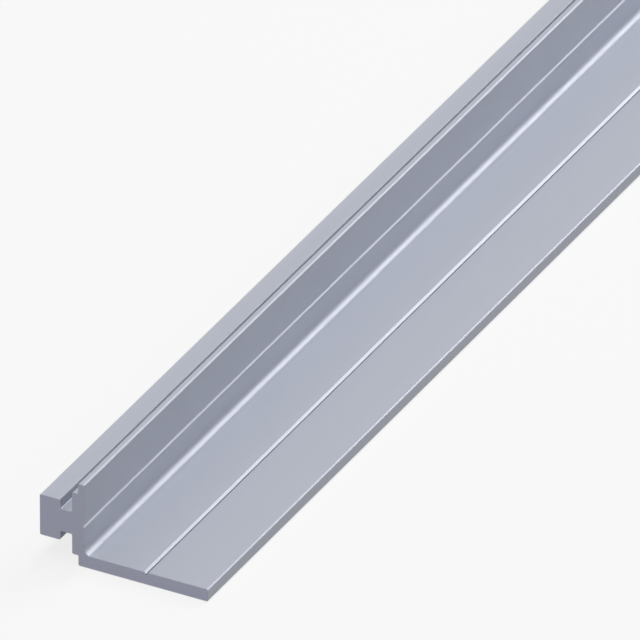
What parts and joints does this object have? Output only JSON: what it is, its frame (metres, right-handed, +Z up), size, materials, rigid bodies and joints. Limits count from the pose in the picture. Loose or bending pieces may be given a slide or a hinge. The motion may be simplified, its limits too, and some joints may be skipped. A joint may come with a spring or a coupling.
{
  "type": "aluminium extrusion profile",
  "caption": "Long aluminium angle profile with a T-shaped head on its wall, a wide flange, a root fillet and two fine guide grooves.",
  "frame": {"origin": "under the flange, at the middle of the bar's length and of the section's width", "axes": "+Y along the bar, +X across the section towards the flange's free edge, +Z up"},
  "size_m": [0.07, 1, 0.0353],
  "materials": {
    "aluminium": "satin, natural anodised, sawn ends"
  },
  "bodies": {
    "root": {"t_head_angle_profile": "aluminium"}
  },
  "joints": []
}
